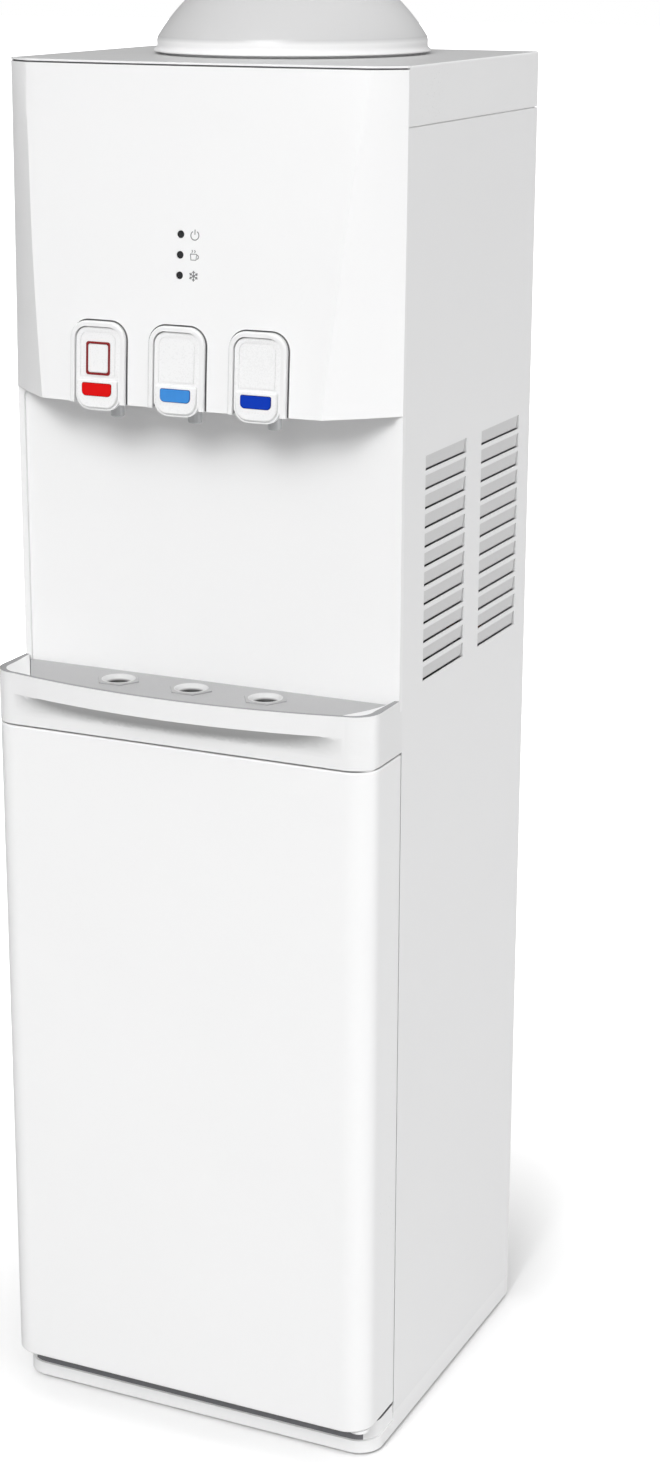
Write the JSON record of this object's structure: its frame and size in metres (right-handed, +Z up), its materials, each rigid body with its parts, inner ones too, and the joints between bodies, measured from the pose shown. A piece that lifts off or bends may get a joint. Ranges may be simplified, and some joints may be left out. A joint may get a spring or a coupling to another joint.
{
  "type": "floor-standing water dispenser",
  "caption": "Floor-standing bottled-water dispenser with push taps over a drip tray, a storage cupboard below and a domed bottle seat on top.",
  "frame": {"origin": "on the floor, under the middle of the dispenser's overall box", "axes": "+X to the right seen from the front, +Y to the back, +Z up"},
  "size_m": [0.31, 0.36, 1.088],
  "materials": {
    "white_plastic": "glossy",
    "white_steel": "satin",
    "inner_plastic": "matt",
    "grey_plastic": "satin",
    "kick_grey": "matt",
    "red_plastic": "glossy",
    "light_blue_plastic": "glossy",
    "dark_blue_plastic": "glossy",
    "clear_plastic": "glossy",
    "black_plastic": "matt",
    "rubber": "matt",
    "silicone": "satin",
    "black_steel": "satin",
    "zinc_steel": "satin",
    "stainless": "brushed",
    "copper": "satin",
    "foam": "matt",
    "circuit_board": "satin"
  },
  "bodies": {
    "cabinet": {"base_plinth": "white_plastic", "cold_tank": "stainless", "compressor": "black_steel", "compressor_bolts": "zinc_steel", "compressor_deck": "zinc_steel", "compressor_grommets": "rubber", "condenser_brackets": "black_plastic", "condenser_tube": "black_steel", "condenser_wires": "black_steel", "cord_gland": "black_plastic", "door_catch": "black_plastic", "door_hinges": "white_plastic", "drain_spout": "white_plastic", "evaporator_coil": "copper", "head_panel": "white_plastic", "hot_tank": "stainless", "hot_tank_heater": "stainless", "hot_tank_jacket": "foam", "hot_tank_stand": "zinc_steel", "kick_strip": "kick_grey", "light_board": "circuit_board", "light_lenses": "clear_plastic", "niche_panel": "white_plastic", "rear_panel": "white_steel", "refrigerant_pipes": "copper", "rubber_feet": "rubber", "side_panel_left": "white_steel", "side_panel_right": "white_steel", "storage_liner": "inner_plastic", "switch_frame": "black_plastic", "tank_foam": "foam", "tank_lid": "foam", "tank_shelf": "zinc_steel", "tap_bezels": "white_plastic", "tap_valves": "silicone", "top_cover": "white_plastic", "tray_housing": "white_plastic", "valve_springs": "stainless", "water_hoses": "silicone"},
    "door": {"door_panel": "white_plastic", "door_liner": "inner_plastic", "door_strike": "zinc_steel"},
    "paddle_hot": {"tap_paddle_hot": "white_plastic", "tap_mark_hot": "red_plastic", "child_lock_ring": "red_plastic"},
    "paddle_ambient": {"tap_paddle_ambient": "white_plastic", "tap_mark_ambient": "light_blue_plastic"},
    "paddle_cold": {"tap_paddle_cold": "white_plastic", "tap_mark_cold": "dark_blue_plastic"},
    "stem_hot": {"valve_stem_hot": "inner_plastic"},
    "stem_ambient": {"valve_stem_ambient": "inner_plastic"},
    "stem_cold": {"valve_stem_cold": "inner_plastic"},
    "lock_button": {"child_lock_button": "white_plastic"},
    "seat": {"bottle_seat": "white_plastic", "bottle_probe": "white_plastic"},
    "tray": {"drip_tray": "grey_plastic"},
    "grille": {"drip_grille": "grey_plastic"},
    "heat_rocker": {"rocker_heat": "red_plastic"},
    "cool_rocker": {"rocker_cool": "dark_blue_plastic"},
    "drain_plug": {"drain_cap": "black_plastic"}
  },
  "joints": [
    {"name": "door_swing", "type": "hinge", "parent": "cabinet", "child": "door", "pos_m": [0.145, -0.15, 0.29], "axis": [0, 0, 1], "range_deg": [0, 110]},
    {"name": "hot_paddle_push", "type": "hinge", "parent": "cabinet", "child": "paddle_hot", "pos_m": [-0.063, -0.14571, 0.84967], "axis": [1, 0, 0], "range_deg": [0, 8], "stiffness_Nm_per_rad": 0.3, "springref_deg": -8.59},
    {"name": "hot_valve_lift", "type": "slide", "parent": "cabinet", "child": "stem_hot", "axis": [0, 0, 1], "range_m": [0, 0.00289], "deforming": ["valve_springs"]},
    {"name": "ambient_paddle_push", "type": "hinge", "parent": "cabinet", "child": "paddle_ambient", "pos_m": [0, -0.14571, 0.84967], "axis": [1, 0, 0], "range_deg": [0, 8], "stiffness_Nm_per_rad": 0.3, "springref_deg": -8.59},
    {"name": "ambient_valve_lift", "type": "slide", "parent": "cabinet", "child": "stem_ambient", "axis": [0, 0, 1], "range_m": [0, 0.00289], "deforming": ["valve_springs"]},
    {"name": "cold_paddle_push", "type": "hinge", "parent": "cabinet", "child": "paddle_cold", "pos_m": [0.063, -0.14571, 0.84967], "axis": [1, 0, 0], "range_deg": [0, 8], "stiffness_Nm_per_rad": 0.3, "springref_deg": -8.59},
    {"name": "cold_valve_lift", "type": "slide", "parent": "cabinet", "child": "stem_cold", "axis": [0, 0, 1], "range_m": [0, 0.00289], "deforming": ["valve_springs"]},
    {"name": "child_lock_press", "type": "slide", "parent": "paddle_hot", "child": "lock_button", "axis": [0, 0.9981, -0.0609], "range_m": [0, 0.002], "stiffness_N_per_m": 300, "springref_m": -0.002},
    {"name": "bottle_seat_lift", "type": "slide", "parent": "cabinet", "child": "seat", "axis": [0, 0, 1], "range_m": [0, 0.1]},
    {"name": "drip_tray_lift", "type": "slide", "parent": "cabinet", "child": "tray", "axis": [0, 0, 1], "range_m": [0, 0.08]},
    {"name": "drip_grille_lift", "type": "slide", "parent": "tray", "child": "grille", "axis": [0, 0, 1], "range_m": [0, 0.04]},
    {"name": "heat_rocker_tip", "type": "hinge", "parent": "cabinet", "child": "heat_rocker", "pos_m": [-0.112, 0.139, 0.9], "axis": [-1, 0, 0], "range_deg": [0, 16]},
    {"name": "cool_rocker_tip", "type": "hinge", "parent": "cabinet", "child": "cool_rocker", "pos_m": [-0.082, 0.139, 0.9], "axis": [-1, 0, 0], "range_deg": [0, 16]},
    {"name": "drain_cap_pull", "type": "slide", "parent": "cabinet", "child": "drain_plug", "axis": [0, 1, 0], "range_m": [0, 0.02]}
  ],
  "couplings": [
    {"joint": "hot_paddle_push", "follows": "hot_valve_lift", "rad_per_m": 48.291},
    {"joint": "ambient_paddle_push", "follows": "ambient_valve_lift", "rad_per_m": 48.291},
    {"joint": "cold_paddle_push", "follows": "cold_valve_lift", "rad_per_m": 48.291}
  ]
}
